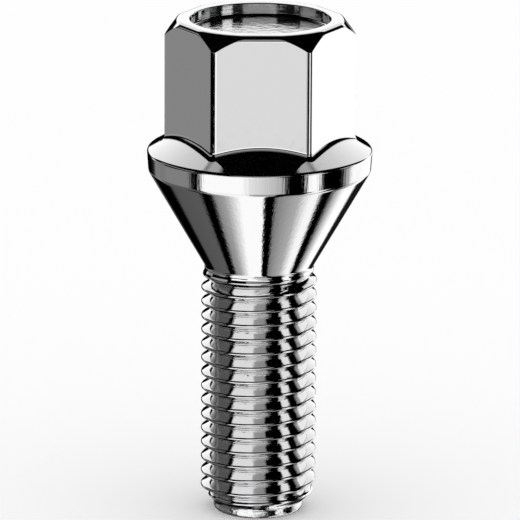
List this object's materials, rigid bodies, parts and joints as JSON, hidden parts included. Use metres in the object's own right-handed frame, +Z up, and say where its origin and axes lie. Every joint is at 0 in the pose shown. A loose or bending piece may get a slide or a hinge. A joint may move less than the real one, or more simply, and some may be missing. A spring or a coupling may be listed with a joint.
{
  "type": "wheel bolt",
  "caption": "Chrome-plated wheel bolt: hexagon head with a shallow round recess, flange, conical seat, short neck and threaded shank with a pilot end.",
  "frame": {"origin": "centre of the end face that the bolt stands on", "axes": "+Z up the bolt's axis to the top of the head; a flat of the hexagon faces -Y"},
  "size_m": [0.023, 0.023, 0.0517],
  "materials": {
    "chrome": "bright chrome plate over forged and rolled steel"
  },
  "bodies": {
    "root": {"wheel_bolt": "chrome"}
  },
  "joints": []
}
